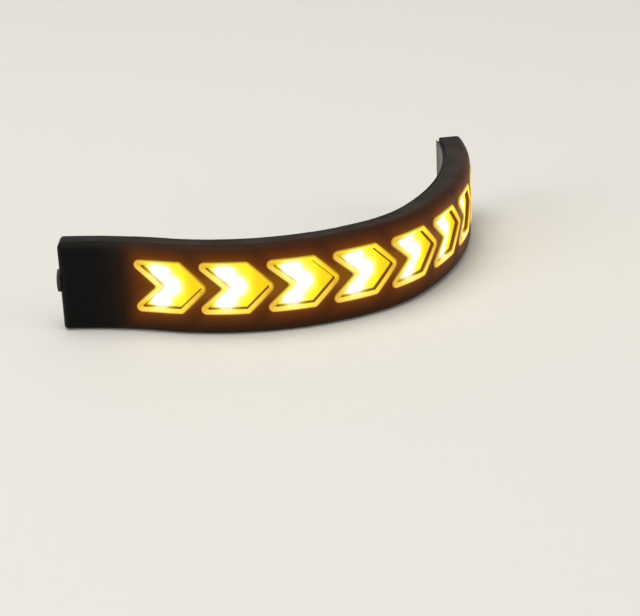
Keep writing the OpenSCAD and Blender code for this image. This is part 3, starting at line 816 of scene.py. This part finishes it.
# epoxy pressed into a rough mould: dark grey and dull
epoxy, _ = mottled("moulded black epoxy of a chip", "#141415", "#242425", 0.12, (0.45, 0.6), 0.02)
# ceramic sawn and tumbled before it is fired: an even tan, neither matt nor glossy
ceramic, _ = mottled("fired tan ceramic of a capacitor", "#9C7E52", "#B8986A", 0.25, (0.4, 0.5), 0.01)
# glass glaze printed over the resistor's film: black and shiny
glaze, _ = mottled("black glaze of a film resistor", "#121214", "#26262A", 0.3, (0.2, 0.35), 0.01)
# solder flows into small mounds: bright metal that is duller where the flux has been
solder, shader = mottled("tinned copper, soldered", "#A8A6A0", "#D2D0CA", 0.6, (0.22, 0.45), 0.08)
feed(shader, {"Metallic": 1.0})
print("finishes", [m.name for m in (gland_rubber, mask_rubber, poured, epoxy, ceramic, glaze, solder)])

# %% [markdown]
# The back carries a strip of black acrylic foam tape with its release film still on. The foam's cut
# edge shows fine closed cells. The film is smooth polyester: it mirrors the room in long soft
# creases, because it is stiffer than the foam that it was bent with, and has a few hair scratches.

# %% Foam and film
FOAM_CELL = 0.35
CREASE_SPACING = 7.0
CREASE_STRETCH = 4.0
HAIR_LENGTH = 9.0
HAIR_CLOSENESS = 14.0
POLYESTER_IOR = 1.57
foam, shader = mottled("black acrylic foam tape, cut edge", "#161616", "#242322", 0.8, (0.75, 0.9), 0.02)
tree = foam.node_tree
where = add(tree, "ShaderNodeTexCoord").outputs["Object"]
cells = add(tree, "ShaderNodeTexVoronoi", {"Vector": where, "Scale": 1 / (FOAM_CELL * MM)})
pits = add(tree, "ShaderNodeBump", {"Height": cells, "Strength": 0.7, "Distance": 0.08 * MM})
feed(shader, {"Normal": pits})

# glossy film: its creases run up the strip, and its hair scratches run along it and lie close together
film, tree, shader, where = new_material("clear release film on black foam, glossy")
tall = add(tree, "ShaderNodeMapping", {"Vector": where, "Scale": (1.0, 1.0, 1 / CREASE_STRETCH)})
creases = add(tree, "ShaderNodeTexNoise", {
    "Vector": tall, "Scale": 1 / (CREASE_SPACING * MM), "Detail": 2.0, "Distortion": 0.6})
fine = add(tree, "ShaderNodeMapping", {
    "Vector": where, "Scale": (1.0, 1.0, HAIR_CLOSENESS), "Rotation": (0.5, 0, 0.2)})
hairs = add(tree, "ShaderNodeTexNoise", {"Vector": fine, "Scale": 1 / (HAIR_LENGTH * MM), "Detail": 6.0})
scratch = add(tree, "ShaderNodeMapRange", {"Value": hairs, "From Min": 0.6, "From Max": 0.72,
                                           "To Min": 0.36, "To Max": 0.5})
dark = add(tree, "ShaderNodeMix", {0: creases, 6: colour("#0A0A0B"), 7: colour("#1B1B1D")}, data_type="RGBA")
folds = add(tree, "ShaderNodeBump", {"Height": creases, "Strength": 0.6, "Distance": 0.5 * MM})
feed(shader, {"Base Color": dark.outputs[2], "Roughness": scratch, "Normal": folds,
              "IOR": POLYESTER_IOR, "Specular IOR Level": 0.18})
print("finishes", foam.name, "|", film.name)

# %% [markdown]
# The circuit board is flexible: copper tracks under a black cover film, which lifts a little over
# each track. The tracks run along the strip, so bands across its height draw them. A diode is a
# white package with phosphor in its dish. Only the amber diodes are lit, so their phosphor shines
# a little and the other one shows its own pale yellow.

# %% Board and diodes
TRACK_PITCH = 1.6
film_board, tree, shader, where = new_material("flexible circuit, black cover film over copper")
height = add(tree, "ShaderNodeSeparateXYZ", {0: where}).outputs["Z"]
turns = add(tree, "ShaderNodeMath", {0: height, 1: 2 * math.pi / (TRACK_PITCH * MM)}, operation="MULTIPLY")
bands = add(tree, "ShaderNodeMath", {0: turns}, operation="SINE")
track = add(tree, "ShaderNodeMapRange", {"Value": bands, "From Min": -0.1, "From Max": 0.15})
covered = add(tree, "ShaderNodeMix", {0: track, 6: colour("#0D0D0E"), 7: colour("#211B16")}, data_type="RGBA")
lifted = add(tree, "ShaderNodeBump", {"Height": track, "Strength": 0.8, "Distance": 0.04 * MM})
feed(shader, {"Base Color": covered.outputs[2], "Roughness": 0.4, "Normal": lifted})

# phosphor powder in clear silicone: it looks like thick, matt paint, and glows where it is lit
amber_phosphor, shader = mottled("amber phosphor, lit", "#E08A14", "#F6B030", 0.15, (0.4, 0.55), 0.02)
feed(shader, {"Emission Color": colour("#FFC03C"), "Emission Strength": 0.9})
white_phosphor, _ = mottled("pale yellow phosphor, unlit", "#D8C878", "#EADC96", 0.15, (0.4, 0.55), 0.02)
# a white filled plastic that throws the light forward, as smooth as its mould
package, _ = mottled("white moulded diode package", "#DAD8D0", "#F0EEE6", 0.4, (0.45, 0.6), 0.01)
print("finishes", [m.name for m in (film_board, amber_phosphor, white_phosphor, package)])

# %% [markdown]
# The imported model's own meshes stay as they are, because their shapes are right. A finish goes into
# the material slots that a part brings along. The diodes and resistors of one window are like those
# of the next, so a loop serves all eight.

# %% Each part gets its finish
finish_of = {"housing": rubber, "cable_gland": gland_rubber, "light_mask": mask_rubber,
             "circuit_board": film_board, "flow_chip": epoxy, "capacitor": ceramic, "diode": epoxy,
             "solder_pads": solder, "back_fill": poured, "foam_tape": foam, "release_liner": film}
for number in WINDOWS:
    finish_of[f"amber_leds_{number}"] = package
    finish_of[f"white_leds_{number}"] = package
    finish_of[f"resistors_{number}"] = glaze
for node, finish in finish_of.items():
    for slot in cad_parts[node].material_slots:
        slot.material = finish
print("finished nodes", len(finish_of), "of", len(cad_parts), "and", WINDOW_COUNT, "new lenses")

# %% [markdown]
# The small parts on the board get what their plain solids lack: a dome of phosphor in the dish of
# each diode package, tinned ends on the resistors, the capacitor and the rectifier, bent legs on
# the flow chip and a mound on each solder pad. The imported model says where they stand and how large
# they are, so nothing is measured twice: a copy of a part's mesh is merged and taken apart into its
# solids, and each solid's middle is turned into a place along the strip and a depth.

# %% Where the small parts stand
MERGE = 0.001 * MM


def on_strip(spot):
    """Turns a point back into its distance along the front face and its depth behind it."""
    for i in ARCS:
        sign = math.copysign(1, RADII[i])
        off = sign * (spot.to_2d() - arc_centre(i))
        along = arc_starts[i][0] + RADII[i] * (math.atan2(off.x, -off.y) - JOINTS[i])
        if i == ARCS[-1] or along < arc_starts[i + 1][0]:
            return along, RADII[i] - sign * off.length


def pieces_of(node):
    """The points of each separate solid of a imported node."""
    build = bmesh.new()
    build.from_mesh(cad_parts[node].data)
    bmesh.ops.remove_doubles(build, verts=build.verts, dist=MERGE)
    left = dict.fromkeys(build.verts)
    solids = []
    while left:
        reached = [next(iter(left))]
        del left[reached[0]]
        solids.append([])
        while reached:
            vertex = reached.pop()
            solids[-1].append(vertex.co.copy())
            for near in [edge.other_vert(vertex) for edge in vertex.link_edges]:
                if near in left:
                    del left[near]
                    reached.append(near)
    build.free()
    return solids


def stands(node):
    """For each solid of a node, in mm: its place along the strip, its back's depth, its height, its size."""
    found = []
    for spots in pieces_of(node):
        low, high = corners(spots)
        along, deep = on_strip((low + high) / 2)
        squared = Matrix.Rotation(-heading_at(along)[1], 3, "Z")
        least, most = corners([squared @ spot for spot in spots])
        length, tall, width = most - least
        found.append([v / MM for v in (along, deep + tall / 2, (low.z + high.z) / 2, length, width, tall)])
    return found


ambers, whites, resistors = ([place for n in WINDOWS for place in stands(f"{name}_{n}")]
                             for name in ("amber_leds", "white_leds", "resistors"))
print("ambers", len(ambers), "whites", len(whites), "resistors", len(resistors))
print("chip, in mm", [round(v, 2) for v in stands("flow_chip")[0]])

# %% [markdown]
# Each small part is a tiny mesh that repeats, so a tree sets one on each point of a list. A point
# holds the place along the strip, the depth and the height, and the copy turns with the path.

# %% The tree that sets small parts along the strip
set_tree, given, result = new_tree("Small parts along the strip", {"Part": "Object", "Finish": "Material"})
curve = add(set_tree, "GeometryNodeObjectInfo", {"Object": given.outputs["Path"]}).outputs["Geometry"]
part = add(set_tree, "GeometryNodeObjectInfo", {"Object": given.outputs["Part"]}).outputs["Geometry"]
flat = add(set_tree, "ShaderNodeSeparateXYZ", {0: add(set_tree, "GeometryNodeInputPosition")})
there, heading = behind_path(set_tree, curve, flat.outputs["X"], flat.outputs["Y"])
turned = add(set_tree, "FunctionNodeAlignRotationToVector", {"Vector": heading}, axis="X")
copies = add(set_tree, "GeometryNodeInstanceOnPoints", {
    "Points": given.outputs["Geometry"], "Instance": part, "Rotation": turned})
height = add(set_tree, "ShaderNodeCombineXYZ", {"Z": flat.outputs["Z"]})
final = add(set_tree, "ShaderNodeVectorMath", {0: there, 1: height}, operation="ADD")
placed = add(set_tree, "GeometryNodeSetPosition", {"Geometry": copies, "Position": final})
whole = add(set_tree, "GeometryNodeRealizeInstances", {"Geometry": placed})
feed(result, {"Geometry": add(set_tree, "GeometryNodeSetMaterial", {
    "Geometry": whole, "Material": given.outputs["Finish"]})})
print("small parts tree", len(set_tree.nodes), "nodes")

# %% Set one small part on its places
SHARP = math.radians(40)


def set_along(name, build, spots, finish):
    """Sets a small part, drawn in mm, on each spot of the strip: one piece in the end."""
    bmesh.ops.recalc_face_normals(build, faces=build.faces)
    bmesh.ops.scale(build, vec=(MM, MM, MM), verts=build.verts)
    shape = bpy.data.meshes.new(name + "_shape")
    build.to_mesh(shape)
    build.free()
    shape.set_sharp_from_angle(angle=SHARP)
    part = new_object(name + "_shape", shape)
    points = bpy.data.meshes.new(name)
    points.from_pydata([Vector(spot) * MM for spot in spots], [], [])
    piece = run_tree(new_object(name, points), set_tree, {"Path": path, "Part": part, "Finish": finish})
    bpy.data.objects.remove(part)
    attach(piece, "root")
    print(name, len(spots), "copies,", len(piece.data.polygons), "faces")


print("edges that turn by more than", round(math.degrees(SHARP)), "degrees stay sharp")

# %% [markdown]
# Phosphor and solder both set as low round mounds: one is poured into its dish, the other wets its
# pad. A squashed sphere would do, but half of it would be hidden, so the mound is drawn as rings.

# %% Phosphor and solder mounds
DISH_DEPTH = 0.25
DISH_RADIUS = 1.1
PHOSPHOR_GAP = 0.05
PHOSPHOR_RISE = 0.15
SOLDER_RADIUS = 0.95
SOLDER_RISE = 0.2
DOME_SIDES = 24
DOME_RINGS = 5


def dome(radius, rise):
    """A low round mound that stands on y = 0 and rises towards the viewer, in mm."""
    build = bmesh.new()
    rings = []
    for n in range(DOME_RINGS):
        slope = math.radians(90 * n / DOME_RINGS)
        turns = [2 * math.pi * i / DOME_SIDES for i in range(DOME_SIDES)]
        rings.append([build.verts.new((radius * math.cos(slope) * math.cos(turn), -rise * math.sin(slope),
                                       radius * math.cos(slope) * math.sin(turn))) for turn in turns])
    for ring, following in zip(rings, rings[1:]):
        for i in range(DOME_SIDES):
            j = (i + 1) % DOME_SIDES
            build.faces.new((ring[i], ring[j], following[j], following[i]))
    build.faces.new(rings[0])
    build.faces.new(rings[-1])
    return build


def fronts(bodies, sunk=0.0):
    """The middles of the front faces of some bodies, or of dishes that are sunk into them."""
    return [(along, back - tall + sunk, height) for along, back, height, _, _, tall in bodies]


for name, bodies, finish, slot in (("amber_phosphor", ambers, amber_phosphor, "led_amber"),
                                   ("white_phosphor", whites, white_phosphor, "led_white")):
    phosphor = dome(DISH_RADIUS - PHOSPHOR_GAP, PHOSPHOR_RISE)
    set_along(name, phosphor, fronts(bodies, DISH_DEPTH), finish)
set_along("solder_mounds", dome(SOLDER_RADIUS, SOLDER_RISE), fronts(stands("solder_pads")), solder)

# %% [markdown]
# A resistor, a capacitor and a rectifier are soldered by the metal caps on their ends, and a chip by
# its bent legs. Both are short prisms. The caps are wider than the body by a hair and have rounded
# edges, as dipped metal has, and the two caps of a body are one shape, so that they stay in line.

# %% Tinned ends and legs
END_LENGTH = 0.35
END_PROUD = 0.02
END_ROUND = 0.06
LEGS = 4
LEG_PITCH = 1.27
LEG_WIDTH = 0.4
LEG_BEND = [(-0.05, -0.85), (0.12, -0.85), (0.19, -0.17), (0.27, -0.13), (0.27, 0.0), (0.1, 0.0),
            (0.04, -0.7), (-0.05, -0.7)]


def prism(build, outline, start, end):
    """Adds the solid that a closed outline in y and z sweeps from one x to another."""
    face = build.faces.new([build.verts.new((start, y, z)) for y, z in outline])
    swept = bmesh.ops.extrude_face_region(build, geom=[face])["geom"]
    bmesh.ops.translate(build, vec=(end - start, 0, 0),
                        verts=[part for part in swept if isinstance(part, bmesh.types.BMVert)])


def tinned_ends(length, width, tall):
    """Rounded metal caps over both ends of a body of the given size."""
    build = bmesh.new()
    side, front, end = width / 2 + END_PROUD, -tall - END_PROUD, length / 2 + END_PROUD
    outline = [(0, -side), (front, -side), (front, side), (0, side)]
    for way in (-1, 1):
        prism(build, outline, way * end, way * (end - END_LENGTH))
    free = [edge for edge in build.edges if min(v.co.y for v in edge.verts) < 0]
    bmesh.ops.bevel(build, geom=free, offset=END_ROUND, segments=2, affect="EDGES")
    return build


def bent_legs(width):
    """The legs of a chip of the given width, along its upper and its lower side."""
    build = bmesh.new()
    for way in (-1, 1):
        for n in range(LEGS):
            start = (n - (LEGS - 1) / 2) * LEG_PITCH - LEG_WIDTH / 2
            prism(build, [(y, way * (width / 2 + out)) for out, y in LEG_BEND], start, start + LEG_WIDTH)
    return build


for name, bodies in (("resistor_ends", resistors), ("capacitor_ends", stands("capacitor")),
                     ("diode_ends", stands("diode"))):
    set_along(name, tinned_ends(*bodies[0][3:]), [body[:3] for body in bodies], solder)
chip = stands("flow_chip")[0]
set_along("chip_legs", bent_legs(chip[4]), [chip[:3]], solder)

# %% [markdown]
# The path was only a guide, so it goes.

# %% Hand over
bpy.data.objects.remove(path)
